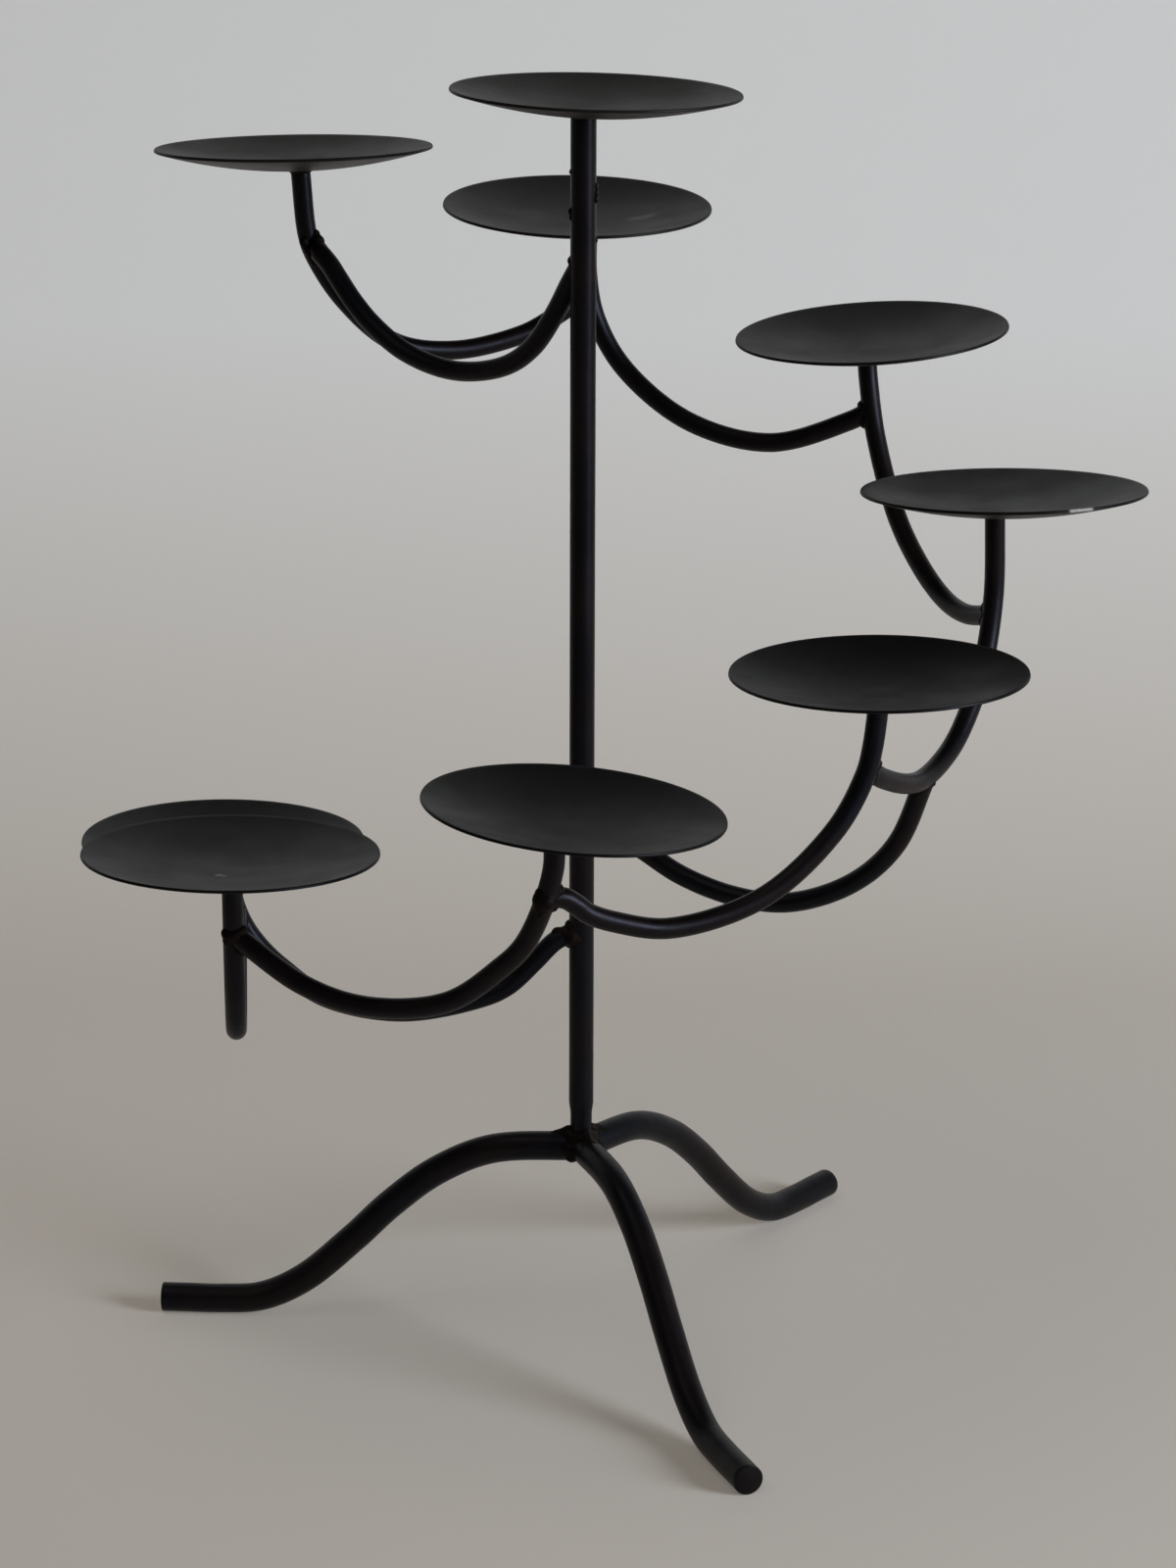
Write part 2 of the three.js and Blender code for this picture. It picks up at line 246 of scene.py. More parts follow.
def smooth_route(points):
    """An evenly bending line through points, as a bar takes when it is bent over a former."""
    points = [2 * points[0] - points[1], *points, 2 * points[-1] - points[-2]]
    route = [points[1]]
    for a, b, c, d in zip(points, points[1:], points[2:], points[3:]):
        before = math.sqrt((b - a).length)
        span = math.sqrt((c - b).length)
        after = math.sqrt((d - c).length)
        leave = ((b - a) / before - (c - a) / (before + span) + (c - b) / span) * span
        reach = ((c - b) / span - (d - b) / (span + after) + (d - c) / after) * span
        for i in range(1, route_steps + 1):
            t = i / route_steps
            route.append(
                b + leave * t
                + (3 * (c - b) - 2 * leave - reach) * t ** 2
                + (2 * (b - c) + leave + reach) * t ** 3
            )
    return route


def route_length(route):
    return sum((b - a).length for a, b in zip(route, route[1:]))


def between(start, end, outline):
    """Points at shares of the level way from start to end, each with its own height."""
    made = []
    for share, height in outline:
        point = start.lerp(end, share)
        point.z = height * MM
        made.append(point)
    return made


def at_height(route, height):
    """The first point of a route, coming from its start, at or below a height in millimetres."""
    return next(point for point in route if point.z <= height * MM)


def at_share(route, share):
    """The point at a share of a route's length."""
    left = share * route_length(route)
    for a, b in zip(route, route[1:]):
        step = (b - a).length
        if step >= left:
            return a.lerp(b, left / step)
        left -= step
    return route[-1]


def way_at(route, point):
    """The direction of a route where it passes closest to a point."""
    nearest = min(range(1, len(route) - 1), key=lambda i: (route[i] - point).length)
    return (route[nearest + 1] - route[nearest - 1]).normalized()


# Bars: each is cut square from round bar, filed at its ends, and bent cold over a former where it
# isn't straight. An edge that climbs by less than the level climb, in metres, counts as level.
bar_sides = 32
bar_edge = 0.4
bend_ring_spacing = 1.5
level_climb = 1e-6


def straight_bar(name, diameter, length, rings):
    """A round bar of millimetre sizes that stands on the origin, with rings of edges along it."""
    bpy.ops.mesh.primitive_cylinder_add(
        vertices=bar_sides, radius=diameter / 2 * MM, depth=length * MM,
        location=(0, 0, length / 2 * MM),
    )
    bar = bpy.context.object
    bar.name = name
    bpy.ops.object.transform_apply()
    pick(bar, "edges", lambda edge: climb_of(bar, edge) < level_climb)
    bpy.ops.mesh.bevel(offset=bar_edge * MM, segments=2, affect="EDGES")
    bpy.ops.object.mode_set(mode="OBJECT")
    pick(bar, "edges", lambda edge: climb_of(bar, edge) > length * MM / 2)
    bpy.ops.mesh.subdivide(number_cuts=rings)
    bpy.ops.object.mode_set(mode="OBJECT")
    return bar


def bent_bar(name, diameter, route):
    """A straight bar of the route's length, bent along the route."""
    length = route_length(route) / MM
    bar = straight_bar(name, diameter, length, int(length / bend_ring_spacing))
    bpy.ops.curve.primitive_nurbs_path_add(location=(0, 0, 0))
    former = bpy.context.object
    former.data.splines.clear()
    line = former.data.splines.new("POLY")
    line.points.add(len(route) - 1)
    for point, spot in zip(line.points, route):
        point.co = (*spot, 1)
    former.data.twist_mode = "MINIMUM"
    select_only(bar)
    bend = bar.modifiers.new("bend", "CURVE")
    bend.object = former
    bend.deform_axis = "POS_Z"
    bpy.ops.object.modifier_apply(modifier="bend")
    bpy.data.objects.remove(former)
    return bar


# The stem: a straight 10 mm round bar of hot-rolled iron, from the legs to the top dish. Its foot
# was ground in a little before it was welded, and weld spatter sits on its upper part. It has a
# brushed coat of satin black paint, which all the bars share.
stem_diameter = 10
stem_foot = 84.8
stem_top = 501.6
stem_rings = 140
stem_ground_length = 9
stem_ground_share = 0.88
stem_heat_reach = 12
spatter_stretch = (0.8, 0.8, 1.2)
spatter = [
    ((-4.7, -0.8, 478.9), 2.0), ((-4.9, -0.8, 463.6), 2.8), ((-4.7, -1.2, 461.4), 2.2),
    ((4.8, -1, 473.4), 2.6), ((5, -1, 470.9), 2.2), ((4.9, -1.4, 468.6), 3), ((4.8, -0.4, 452.6), 2.2),
]


def black_bar_paint():
    """Satin black enamel brushed on hot-rolled bar: nearly black, cooler and warmer by turns along
    the bar, with a soft narrow shine, brush waves about 6 mm long, a fine grain of mill scale under
    the paint, and brown near the welds."""
    material = new_material("satin_black_enamel_on_bar")
    spot = add_spot(material)
    patches = add_noise(material, spot, size=14, detail=3, roughness=0.6)
    grain = add_noise(material, spot, size=1.1, detail=4, roughness=0.65)
    waves = add_noise(material, spot, size=6, detail=2, roughness=0.5)
    lengths = add_noise(material, spot, size=55, detail=1, roughness=0.5)
    warmth = add_range(material, lengths, 0.42, 0.6)
    tone = add_mix(material, warmth, "#05060c", "#1b100b")
    black = add_mix(material, patches, "#040404", tone)
    scale = add_range(material, grain, 0.6, 0.78, high=0.35)
    grained = add_mix(material, scale, black, "#151211")
    heat = add_node(material, "ShaderNodeAttribute", attribute_name="heat").outputs["Fac"]
    browned = add_mix(material, heat, grained, "#2c1c15")
    dull = add_range(material, patches, 0.3, 0.7, low=0.34, high=0.46)
    grain_relief = add_relief(material, grain, strength=0.35, depth=0.06)
    relief = add_relief(material, waves, strength=0.5, depth=0.25, under=grain_relief)
    add_coat(material, {
        "Base Color": browned, "Roughness": dull, "Normal": relief,
        "Specular IOR Level": 0.2, "Specular Tint": colour("#dcdff2"),
    })
    return material


bar_paint = black_bar_paint()
stem = straight_bar("stem_bar", stem_diameter, stem_top - stem_foot, stem_rings)
pick(stem, "vertices", lambda vertex: vertex.co.z < stem_ground_length * MM)
bpy.ops.transform.resize(value=(stem_ground_share, stem_ground_share, 1))
bpy.ops.object.mode_set(mode="OBJECT")
stem.location = place(0, 0, stem_foot)
bpy.ops.object.transform_apply()
for spot, size in spatter:
    drop = add_drop(place(*spot), size)
    drop.scale = spatter_stretch
    bpy.ops.object.transform_apply()
    join_to(stem, [drop])


# The legs: three 12 mm round bars, bent in the same curve. Each leaves the middle nearly level,
# swings down and lies flat on the table. A leg has its turn in degrees and its share of the reach.
# A bend point is a share of the way to the foot and a height.
leg_diameter = 12
leg_heat_reach = 14
hub_height = 78.5
foot_reach = 175
leg_bend = [
    (0.21, 76), (0.34, 65.8), (0.45, 50.5), (0.54, 34.8),
    (0.66, 16.2), (0.76, 7.6), (0.86, 6), (0.94, 6),
]
legs = {"leg_left": (176.4, 1), "leg_front": (291.8, 0.985), "leg_back": (411.5, 1.01)}

hub = place(0, 0, hub_height)
for name, (turn, reach) in legs.items():
    foot = place(0, 0, leg_diameter / 2) + level_way(turn) * foot_reach * reach * MM
    leg = bent_bar(f"{name}_bar", leg_diameter, smooth_route([hub, *between(hub, foot, leg_bend), foot]))
    warm_near(leg, [hub], leg_heat_reach)
    finish_piece(leg, bar_paint, "iron", name)


# The dishes: discs of 1.2 mm steel sheet pressed to a shallow bowl, 112 mm across, with a small
# flat in the middle for the candle. The edge is filed round, and the paint is sprayed, so it is
# flatter and more even than on the bars. Each dish was welded on by eye and leans its own way, by
# degrees towards the right and towards the back.
dish_diameter = 112
dish_depth = 8
seat_diameter = 16
seat_inset = 1.5
sheet_thickness = 1.2
sheet_edge = 0.35
sheet_edge_angle = 50
dish_sides = 96
dish_ring_radii = [10, 13, 17, 22, 27, 32, 37, 42, 47, 51, 54, 56]
dishes = {
    1: {"x": 4.8, "y": -0.6, "rim": 510, "lean": (1.5, 0.4)},
    2: {"x": -117, "y": 88.5, "rim": 475.3, "lean": (-0.8, 3.2)},
    3: {"x": -2.5, "y": 142, "rim": 443.5, "lean": (1, -3.9)},
    4: {"x": 118.7, "y": 98.5, "rim": 398.7, "lean": (-4, -1.8)},
    5: {"x": 164.8, "y": -2.7, "rim": 355.4, "lean": (-1, 4.1)},
    6: {"x": 110.6, "y": -100.2, "rim": 308.2, "lean": (-0.8, 0.7)},
    7: {"x": -2.8, "y": -151.3, "rim": 270.7, "lean": (5.1, 0.7)},
    8: {"x": -131.9, "y": -106.1, "rim": 239.1, "lean": (0.8, 3)},
    9: {"x": -142.9, "y": -11.6, "rim": 214.1, "lean": (0.9, 0.8)},
}

# Pale marks on the dishes. Worn marks in the paint: a chip in dish 8, a scrape in dish 3 and a
# faint spot in dish 6. Each has a place, how far it reaches and how strongly it shows, which is
# full over the core of its reach. On dish 5 a painted highlight, a pale glint, runs along the near
# edge, which stands higher than the rim's middle.
mark_core = 0.35
glint_turns = (-67.5, -65, -62.5, -60.2)
glint_lift = 3.3
glint_reach = 2.2
glint_strength = 2
wear_and_glint_marks = [
    ((-136, -111.8, 231.4), 2.2, 1.4), ((-133.8, -112.5, 231.6), 1.4, 1.0),
    ((21, 146.4, 436.7), 4.5, 0.25), ((25, 147.6, 437.3), 4.5, 0.3), ((28.6, 149, 438), 3.5, 0.25),
    ((117.1, -123.7, 301.9), 6, 0.05),
]
# A painted highlight: a row of pale marks along the fifth dish's near edge, as a glint.
for turn in glint_turns:
    out = dish_diameter / 2 * level_way(turn)
    glint_spot = (dishes[5]["x"] + out.x, dishes[5]["y"] + out.y, dishes[5]["rim"] + glint_lift)
    wear_and_glint_marks.append((glint_spot, glint_reach, glint_strength))


def black_dish_paint():
    """Satin black enamel sprayed on pressed sheet: a little greyer than the bars, with faint
    clouds about 20 mm wide, painted light that makes the black paler the higher a dish stands,
    a fine dry grain of overspray, pale worn marks, a painted highlight along the fifth dish's
    near edge, and an even soft sheen."""
    material = new_material("satin_black_enamel_on_sheet")
    spot = add_spot(material)
    clouds = add_noise(material, spot, size=22, detail=4, roughness=0.55)
    overspray = add_noise(material, spot, size=1.4, detail=5, roughness=0.7)
    # Painted light: the higher a dish stands, the paler its black.
    upper = add_range(material, add_height(material, spot), 0.34, 0.5)
    painted_height_light = add_mix(material, upper, "#080706", "#292623")
    black = add_mix(material, clouds, "#060606", painted_height_light)
    dust = add_range(material, overspray, 0.5, 0.8, high=0.3)
    worn_and_glint = add_mix(material, dust, black, "#242221")
    # The worn marks and the painted highlight on the fifth dish's edge mix in a pale tone.
    for centre, reach, strength in wear_and_glint_marks:
        apart = add_node(material, "ShaderNodeVectorMath", {
            0: spot, 1: place(*centre),
        }, operation="DISTANCE").outputs["Value"]
        mark = add_range(material, apart, reach * MM, mark_core * reach * MM, high=strength)
        broken = add_math(material, "MULTIPLY", mark, overspray)
        worn_and_glint = add_mix(material, broken, worn_and_glint, "#b9b4ac")
    dull = add_range(material, clouds, 0.3, 0.7, low=0.38, high=0.48)
    relief = add_relief(material, overspray, strength=0.3, depth=0.04)
    add_coat(material, {
        "Base Color": worn_and_glint, "Roughness": dull, "Normal": relief, "Specular IOR Level": 0.125,
    })
    return material


def bowl_height(radius):
    """The inner surface's height under the rim at a distance from the middle, in millimetres."""
    seat = seat_diameter / 2
    rim = dish_diameter / 2
    share = max(0, (radius - seat) / (rim - seat))
    return -dish_depth * (1 - share * (2 * seat + share * (rim - seat)) / (rim + seat))


def dish_up(dish):
    """The direction square to a dish's rim."""
    lean_x, lean_y = dish["lean"]
    return Vector((math.sin(math.radians(lean_x)), math.sin(math.radians(lean_y)), 1)).normalized()


def pressed_dish(name, dish):
    """A dish drawn out ring by ring from its flat seat, then thickened downwards, filed at its
    edge and turned into its place."""
    bpy.ops.mesh.primitive_circle_add(
        vertices=dish_sides, radius=seat_diameter / 2 * MM, fill_type="NGON",
        location=(0, 0, -dish_depth * MM),
    )
    made = bpy.context.object
    made.name = name
    bpy.ops.object.transform_apply()
    bpy.ops.object.mode_set(mode="EDIT")
    bpy.ops.mesh.select_mode(type="EDGE")
    bpy.ops.mesh.select_all(action="SELECT")
    bpy.ops.mesh.inset(thickness=seat_inset * MM)
    bpy.ops.mesh.select_all(action="DESELECT")
    bpy.ops.mesh.select_non_manifold()
    reached = seat_diameter / 2
    for radius in dish_ring_radii:
        rise = (bowl_height(radius) - bowl_height(reached)) * MM
        bpy.ops.mesh.extrude_edges_move(TRANSFORM_OT_translate={"value": (0, 0, rise)})
        bpy.ops.transform.resize(value=(radius / reached, radius / reached, 1))
        reached = radius
    bpy.ops.mesh.select_all(action="SELECT")
    bpy.ops.mesh.normals_make_consistent(inside=True)
    bpy.ops.object.mode_set(mode="OBJECT")
    sheet = made.modifiers.new("sheet", "SOLIDIFY")
    sheet.thickness = sheet_thickness * MM
    sheet.offset = -1
    sheet.use_even_offset = True
    bpy.ops.object.modifier_apply(modifier="sheet")
    filed = made.modifiers.new("filed_edge", "BEVEL")
    filed.width = sheet_edge * MM
    filed.segments = 3
    filed.limit_method = "ANGLE"
    filed.angle_limit = math.radians(sheet_edge_angle)
    bpy.ops.object.modifier_apply(modifier="filed_edge")
    made.rotation_mode = "QUATERNION"
    made.rotation_quaternion = upright.rotation_difference(dish_up(dish))
    made.location = place(dish["x"], dish["y"], dish["rim"])
    bpy.ops.object.transform_apply()
    return made


dish_paint = black_dish_paint()
for number, dish in dishes.items():
    finish_piece(pressed_dish(f"dish_{number}_sheet", dish), dish_paint, "iron", f"dish_{number}")


# The arms: 8 mm round bars. Each stands upright under its dish, swings down and out in the upright
# plane to the next arm, and climbs to that arm's post, where it is welded. The last one ends on
# the stem. A post is set off to the side from the dish's middle. An end is a drop below the next
# dish's rim, and for the last arm below its own. A bend point is a share of the way to the next
# post and a drop below the own rim.
arm_diameter = 8
arm_heat_reach = 11
arms = {
    2: {"post": 2.5, "end": 36.5, "bend": [
        (0.02, 35.5), (0.04, 43.5), (0.14, 63.7), (0.31, 83), (0.52, 88.6), (0.76, 84.3), (0.86, 78.9)]},
    3: {"post": 4.5, "end": 32.1, "bend": [
        (0, 30.4), (0.03, 48), (0.13, 68), (0.36, 88.3), (0.65, 94.4), (0.92, 82.5)]},
    4: {"post": -2, "end": 49.3, "bend": [
        (0.02, 20), (0.09, 42.5), (0.27, 71.8), (0.48, 88.9), (0.67, 97.3), (0.82, 98.5)]},
    5: {"post": -3.2, "end": 36.7, "bend": [
        (-0.01, 43.5), (0.065, 70.5), (0.165, 84.2), (0.32, 96.3), (0.58, 102), (0.88, 92)]},
    6: {"post": 0.6, "end": 34.7, "bend": [
        (0.02, 29.5), (0.04, 39.7), (0.13, 60), (0.345, 82.8), (0.625, 90.5),
        (0.798, 85.2), (0.876, 80.6), (0.91, 76.8), (0.947, 73.5)]},
    7: {"post": -7.6, "end": 32.3, "bend": [
        (0, 24), (0.08, 52.6), (0.165, 65), (0.33, 81), (0.585, 86.8), (0.78, 81.5)]},
    8: {"post": 0.3, "end": 29, "bend": [
        (0, 26), (0.03, 45), (0.085, 63), (0.185, 77), (0.42, 82.5), (0.7, 73.5)]},
    9: {"post": 1.1, "end": 42, "bend": [
        (0.02, 27.5), (0.05, 38), (0.095, 47.2), (0.15, 55.2), (0.27, 68.3),
        (0.49, 75.4), (0.73, 69.5), (0.795, 64.8), (0.865, 55.3), (0.928, 46.3)]},
}

arm_routes = {}
arm_tips = {}
for number in reversed(arms):
    arm, dish = arms[number], dishes[number]
    top = place(dish["x"] + arm["post"], dish["y"], dish["rim"] - dish_depth)
    if number + 1 in arms:
        foot = at_height(arm_routes[number + 1], dishes[number + 1]["rim"] - arm["end"])
    else:
        foot = place(0, 0, dish["rim"] - arm["end"])
    outline = [(share, dish["rim"] - drop) for share, drop in arm["bend"]]
    arm_routes[number] = smooth_route([top, *between(top, foot, outline), foot])
    arm_tips[number] = foot

# A bar starts at the underside of its dish. The sixth arm's end doesn't meet the seventh arm's
# post squarely, but lies a little to the left and to the front.
end_shifts = {6: (-1.4, -1.8, 0)}
for number, route in arm_routes.items():
    underside = route[0].z - sheet_thickness * MM
    shown = [point for point in route if point.z < underside]
    if number in end_shifts:
        shown[-1] = shown[-1] + Vector(end_shifts[number]) * MM
    bar = bent_bar(f"arm_{number}_bar", arm_diameter, shown)
    welds = [arm_tips[number]]
    if number - 1 in arm_tips:
        welds.append(arm_tips[number - 1])
    warm_near(bar, welds, arm_heat_reach)
    finish_piece(bar, bar_paint, "iron", f"arm_{number}")


# The braces: two more bent 8 mm bars that tie the spiral to the stem. One is high on the left, its
# square end lapped in front of the second dish's post. One is lower on the right and ends under
# the fifth dish's arm. A bend point is a share of the way out and a drop below the start.
upper_start = place(0, 0, 445)
upper_lap = at_height(arm_routes[2], 429.5)
upper_lap_aside = 1.2
upper_lap_clearance = 0.3
upper_lap_above = 5
upper_bend = [
    (0.047, 10), (0.104, 23.1), (0.187, 37.6), (0.291, 46.7), (0.478, 51.6),
    (0.665, 47.2), (0.795, 37.8), (0.866, 29.8), (0.918, 22.2), (0.96, 15.9),
]
lower_start = place(0, 0, 222)
lower_end_share = 0.69
lower_bend = [
    (0.07, 4.5), (0.18, 12.5), (0.3, 21.4), (0.46, 27.2), (0.62, 26.7), (0.8, 15.2), (0.92, -2.5),
]


def brace_route(start, bend, end):
    outline = [(share, start.z / MM - drop) for share, drop in bend]
    return smooth_route([start, *between(start, end, outline), end])


upper_nearer = arm_diameter + upper_lap_clearance
upper_end = upper_lap + Vector((upper_lap_aside, -upper_nearer, upper_lap_above)) * MM
lower_end = at_share(arm_routes[5], lower_end_share)
brace_routes = {
    "brace_upper": brace_route(upper_start, upper_bend, upper_end),
    "brace_lower": brace_route(lower_start, lower_bend, lower_end),
}
for name, route in brace_routes.items():
    bar = bent_bar(f"{name}_bar", arm_diameter, route)
    warm_near(bar, [route[0], route[-1]], arm_heat_reach)
    finish_piece(bar, bar_paint, "iron", name)

warm_near(stem, [upper_start, lower_start, arm_tips[9], place(0, 0, stem_foot)], stem_heat_reach)
finish_piece(stem, bar_paint, "iron", "stem")


# The weld beads: drops of weld metal laid round each joint one after another and run together
# into a smooth black fillet in the corner, with lumps where the rod was held longer. The paint
# over them is rougher and a little brown. A bead is melted from its drops and from cores, which
# are the bars' own metal under it.
joint_drop_size = 3.6
joint_drop_count = 24
joint_drop_least = 0.3
joint_drop_unevenness = 0.08
joint_drop_wave = 2.4
joint_creep = 0.1
joint_lead = 6
core_shrink = 0.5
core_along = 5
core_each_way = 6
core_sides = 24
bead_grain = 0.35
bead_settling = 24


def black_weld_paint():
    """Black enamel over weld metal: rough, pitted, and browner than the bars."""
    material = new_material("black_enamel_on_weld")
    pits = add_noise(material, add_spot(material), size=0.9, detail=3, roughness=0.6)
    black = add_mix(material, pits, "#040303", "#1b100b")
    relief = add_relief(material, pits, strength=0.5, depth=0.1)
    add_coat(material, {
        "Base Color": black, "Roughness": 0.56, "Normal": relief, "Specular IOR Level": 0.09,
    })
    return material


def ring(side, rise, radius, count):
    """Evenly spaced steps from the middle of a circle to its edge, each with its angle."""
    steps = []
    for i in range(count):
        angle = 2 * math.pi * i / count
        steps.append((angle, (side * math.cos(angle) + rise * math.sin(angle)) * radius * MM))
    return steps


def distance_to_line(point, base, direction):
    return (point - base).cross(direction).length


def joint_drops(tip, away, carrier_way, carrier_radius):
    """Drops round an 8 mm bar where its surface meets the surface of the bar that carries it,
    small where the two surfaces only touch and full size in the corners."""
    side = away.cross(carrier_way).normalized()
    rise = side.cross(away)
    drops = []
    for i, (angle, across) in enumerate(ring(side, rise, arm_diameter / 2, joint_drop_count)):
        out = 0
        while distance_to_line(tip + across + away * out, tip, carrier_way) < carrier_radius * MM:
            out += joint_creep * MM
        corner = (1 - joint_drop_least) * math.sin(angle) ** 2
        uneven = joint_drop_unevenness * math.sin(joint_drop_wave * i)
        fullness = joint_drop_least + corner + uneven
        drops.append((tip + across + away * out, joint_drop_size * fullness))
    return drops


def joint_cores(tip, away, carrier_way, carrier_radius):
    """The two bars' own metal under a bead: from, to and diameter of each."""
    half = carrier_way * core_each_way * MM
    return [
        (tip, tip + away * (carrier_radius + core_along) * MM, arm_diameter - core_shrink),
        (tip - half, tip + half, 2 * carrier_radius - core_shrink),
    ]


def weld_bead(name, node, drops, cores):
    """Melts drops of weld metal and the cores that they lie on into one smooth bead."""
    made = [add_drop(point, size) for point, size in drops]
    for start, end, size in cores:
        bpy.ops.mesh.primitive_cylinder_add(
            vertices=core_sides, radius=size / 2 * MM, depth=(end - start).length,
            location=(start + end) / 2, rotation=(end - start).to_track_quat("Z", "Y").to_euler(),
        )
        made.append(bpy.context.object)
    bead = made[0]
    join_to(bead, made[1:])
    bead.name = name
    bpy.ops.object.transform_apply()
    melt = bead.modifiers.new("melt", "REMESH")
    melt.mode = "VOXEL"
    melt.voxel_size = bead_grain * MM
    bpy.ops.object.modifier_apply(modifier="melt")
    settle = bead.modifiers.new("settle", "SMOOTH")
    settle.iterations = bead_settling
    settle.factor = 0.5
    bpy.ops.object.modifier_apply(modifier="settle")
    finish_piece(bead, weld_paint, "weld", node)


def joint_bead(name, node, tip, away, carrier_way, carrier_radius, lumps=()):
    """The bead round an 8 mm bar's end on the bar that carries it. A lump is a step from the tip
    and a size."""
    drops = joint_drops(tip, away, carrier_way, carrier_radius)
    drops += [(tip + Vector(step) * MM, size) for step, size in lumps]
    weld_bead(name, node, drops, joint_cores(tip, away, carrier_way, carrier_radius))


# The beads at the arms' ends. Those of the sixth, seventh and ninth arm are lumpy.
weld_paint = black_weld_paint()
end_lumps = {
    6: [
        ((-1.6, -1.8, -0.6), 7.6), ((-1.6, -1.4, -3), 7), ((-1.2, -1.2, 1.4), 6.6),
        ((0, -2.2, -1), 7.8), ((-1.8, -2.6, -5.4), 3.6),
    ],
    7: [
        ((-2.3, -2.2, 1), 4.9), ((-1.2, -2.8, 0.2), 5.4), ((0.6, -3, 0.6), 5.2),
        ((-1.8, -2.4, -1.8), 4.8),
    ],
    9: [
        ((-9.6, -0.6, -1.6), 6), ((-7, -1, -2), 7.4), ((-3.8, -2.4, -2.6), 7.6),
        ((-1.4, -3.2, -3), 5),
    ],
}
for number, route in arm_routes.items():
    tip = arm_tips[number]
    away = (at_share(route[::-1], joint_lead * MM / route_length(route)) - tip).normalized()
    if number + 1 in arms:
        carrier_way, carrier_radius = way_at(arm_routes[number + 1], tip), arm_diameter / 2
    else:
        carrier_way, carrier_radius = upright, stem_diameter / 2
    joint_bead(
        f"weld_arm_{number}_bead", f"weld_arm_{number}",
        tip, away, carrier_way, carrier_radius, end_lumps.get(number, ()),
    )


# The beads of the braces: one at each start on the stem, one under the fifth arm, and one down both
# sides of the upper brace's lapped end, with a run of lumps over its cut.
lower_lead_share = 0.05
lap_drop_size = 4.4
lap_drop_aside = 2.6
lap_drop_steps = (-3, -1, 1, 3, 5, 7)
lap_lumps = [
    ((-0.4, 0.6, 0.6), 6.6), ((1, 2, 0.4), 6), ((-0.6, 4, 3.4), 6), ((-2, 5.6, 6), 5),
]
lap_core_length = 4
lap_core_size = 6

for name, route in brace_routes.items():
    away = (at_share(route, joint_lead * MM / route_length(route)) - route[0]).normalized()
    joint_bead(
        f"weld_{name}_stem_bead", f"weld_{name}_to_stem",
        route[0], away, upright, stem_diameter / 2,
    )

away = (at_share(brace_routes["brace_lower"][::-1], lower_lead_share) - lower_end).normalized()
joint_bead(
    "weld_brace_lower_arm_bead", "weld_brace_lower_to_arm",
    lower_end, away, way_at(arm_routes[5], lower_end), arm_diameter / 2,
)

along = way_at(arm_routes[2], upper_lap)
middle = (upper_lap + upper_end) / 2
drops = [
    (middle + (Vector((side * lap_drop_aside, 0, 0)) - along * step) * MM, lap_drop_size)
    for side in (-1, 1) for step in lap_drop_steps
]
drops += [(upper_end + Vector(step) * MM, size) for step, size in lap_lumps]
cores = [(middle, middle + along * lap_core_length * MM, lap_core_size)]
weld_bead("weld_brace_upper_arm_bead", "weld_brace_upper_to_arm", drops, cores)


# The beads under the dishes: small and even rings round the stem and the posts.
seat_drop_size = 2.4
seat_drop_count = 18
seat_drop_out = 0.2
seat_core_length = 3

for number, dish in dishes.items():
    up = dish_up(dish)
    radius = (stem_diameter if number == 1 else arm_diameter) / 2
    top = stem_axis + upright * stem_top * MM if number == 1 else arm_routes[number][0]
    middle = place(dish["x"], dish["y"], dish["rim"]) - up * (dish_depth + sheet_thickness) * MM
    under = top - up * (top - middle).dot(up)
    side = up.orthogonal().normalized()
    drops = [
        (under + across - up * seat_drop_out * MM, seat_drop_size)
        for angle, across in ring(side, up.cross(side), radius + seat_drop_out, seat_drop_count)
    ]
    cores = [(under - up * seat_core_length * MM, under, 2 * radius - core_shrink)]
    weld_bead(f"weld_dish_{number}_bead", f"weld_dish_{number}", drops, cores)


# The middle of the legs was filled up with the rod: a ring round the stem's foot, with a run of
# metal on top of each leg and a fill in each corner between two of them. A drop of a run or a fill
# is a way out, a way down and a size: for a run from the stem's surface and the leg's top, and for
# a fill from the point where the legs' middle lines meet.
hub_drop_size = 4.4
hub_drop_count = 16
hub_drop_out = 0.6
hub_core_length = 13
leg_run = [(0.8, -0.4, 5), (2.4, 0.3, 4.6), (4.2, 0.8, 4), (6, 1, 3.4)]
corner_fill = [(4.4, 0, 9.4), (6, 0, 8), (6.4, 2, 7)]

foot_radius = stem_diameter / 2 * stem_ground_share
turns = sorted(turn for turn, reach in legs.values())
drops = []
for i in range(hub_drop_count):
    angle = 2 * math.pi * i / hub_drop_count
    x = (foot_radius + hub_drop_out) * math.cos(angle)
    y = (foot_radius + hub_drop_out) * math.sin(angle)
    height = hub_height
    for turn in turns:
        way = level_way(turn).xy
        along, aside = Vector((x, y)).dot(way), Vector((x, y)).cross(way)
        if along > 0 and abs(aside) < leg_diameter / 2:
            height = max(height, hub_height + math.sqrt((leg_diameter / 2) ** 2 - aside ** 2))
    drops.append((place(x, y, height), hub_drop_size))

cores = [(hub, place(0, 0, hub_height + hub_core_length), 2 * foot_radius - core_shrink)]
for turn, next_turn in zip(turns, [*turns[1:], turns[0] + 360]):
    way = level_way(turn)
    cores.append((hub, hub + way * hub_core_length * MM, leg_diameter - core_shrink))
    for out, down, size in leg_run:
        level = upright * (leg_diameter / 2 - down)
        drops.append((hub + (way * (foot_radius + out) + level) * MM, size))
    corner_way = level_way((turn + next_turn) / 2)
    for out, down, size in corner_fill:
        drops.append((hub + (corner_way * out - upright * down) * MM, size))
weld_bead("weld_hub_bead", "weld_hub", drops, cores)


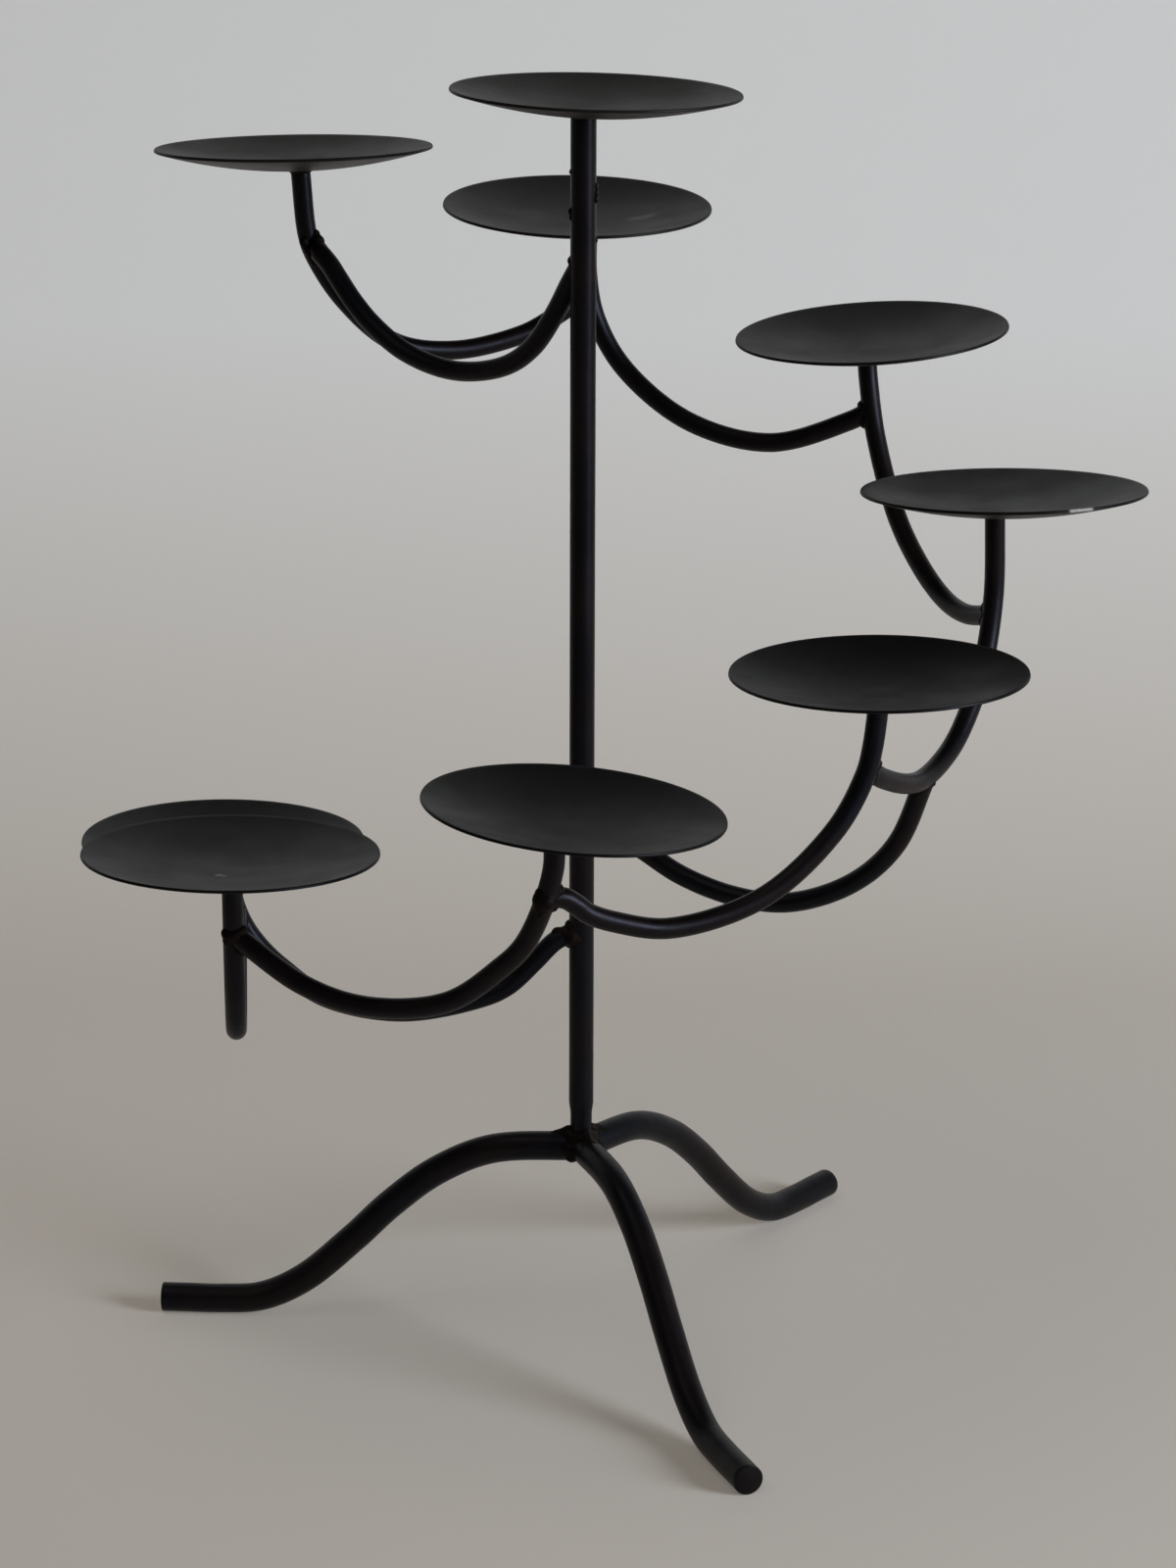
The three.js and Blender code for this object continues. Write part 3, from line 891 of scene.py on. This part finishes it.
# The floor and the backdrop: one pale matt sheet of card, of sizes in metres, that lies under the
# legs and curves up behind. Its tone is cooler towards its top. It has a glow that grows towards
# the top and shows only where the card is seen or mirrored. From behind it is clear, so that the
# back of the object can be seen.
card_width = 8
card_depth = 3.6
card_middle = -0.9
card_height = 0.95
card_bend = 0.5
card_bend_steps = 24
near_back = card_middle + card_depth / 2 - 0.1
near_floor = 0.1

bpy.ops.mesh.primitive_plane_add(size=1, location=(0, 0, 0))
sweep = bpy.context.object
sweep.name = "sweep"
sweep.scale = (card_width, card_depth, 1)
sweep.location = (0, card_middle, 0)
bpy.ops.object.transform_apply()
pick(sweep, "edges", lambda edge: all(v.y > near_back for v in ends_of(sweep, edge)))
bpy.ops.mesh.extrude_edges_move(TRANSFORM_OT_translate={"value": (0, 0, card_height)})
bpy.ops.object.mode_set(mode="OBJECT")
pick(sweep, "edges", lambda edge: all(
    v.y > near_back and v.z < near_floor for v in ends_of(sweep, edge)
))
bpy.ops.mesh.bevel(offset=card_bend, segments=card_bend_steps, affect="EDGES")
bpy.ops.object.mode_set(mode="OBJECT")
bpy.ops.object.shade_smooth()


def add_seen(material):
    """One for a ray from the viewer or off a shiny surface, and nought for one that lights."""
    ray = add_node(material, "ShaderNodeLightPath").outputs
    return add_math(material, "MAXIMUM", ray["Is Camera Ray"], ray["Is Glossy Ray"])


card = new_material("pale_matt_card")
rising = add_range(card, add_height(card, add_spot(card)), 0, 0.26)
tone = add_mix(card, rising, "#dad3c7", "#d9d9d5")
glow = add_range(card, rising, 0, 1, low=0.18, high=0.36)
shader = add_node(card, "ShaderNodeBsdfPrincipled", {
    "Base Color": tone, "Roughness": 0.95, "Specular IOR Level": 0.1,
    "Emission Color": tone, "Emission Strength": add_math(card, "MULTIPLY", add_seen(card), glow),
})
behind = add_node(card, "ShaderNodeNewGeometry").outputs["Backfacing"]
viewed = add_node(card, "ShaderNodeLightPath").outputs["Is Camera Ray"]
clear = add_node(card, "ShaderNodeBsdfTransparent")
surface = add_node(card, "ShaderNodeMixShader", {
    0: add_math(card, "MULTIPLY", behind, viewed), 1: shader.outputs["BSDF"], 2: clear.outputs["BSDF"],
})
add_node(card, "ShaderNodeOutputMaterial", {"Surface": surface.outputs["Shader"]})
sweep.data.materials.append(card)


# The light: a large soft lamp on the right in front, a weaker one overhead, and an even surround
# that is paler where it is seen than where it lights. Places and sizes are in metres, the powers
# in watts and the spread in degrees.
lamps = {
    "soft_key": {"place": (2.3, -1.2, 0.95), "size": 1.2, "power": 17.8, "tint": "#e8efff"},
    "soft_fill": {"place": (-0.7, -0.5, 2.3), "size": 2, "power": 2.4, "tint": "#fff0e2"},
}
lamp_aim = Vector((0, 0, 0.25))
lamp_spread = 100
for name, lamp in lamps.items():
    bpy.ops.object.light_add(type="AREA", location=lamp["place"])
    light = bpy.context.object
    light.name = name
    light.data.shape = "DISK"
    light.data.size = lamp["size"]
    light.data.energy = lamp["power"]
    light.data.color = colour(lamp["tint"])[:3]
    light.data.spread = math.radians(lamp_spread)
    light.rotation_euler = (lamp_aim - Vector(lamp["place"])).to_track_quat("-Z", "Y").to_euler()

world = bpy.data.worlds.new("even_surround")
world.use_nodes = True
background = world.node_tree.nodes["Background"]
background.inputs["Color"].default_value = colour("#dcdcda")
strength = add_range(world, add_seen(world), 0, 1, low=0.04, high=0.16)
world.node_tree.links.new(strength, background.inputs["Strength"])
bpy.context.scene.world = world
bpy.context.scene.view_settings.view_transform = "Standard"
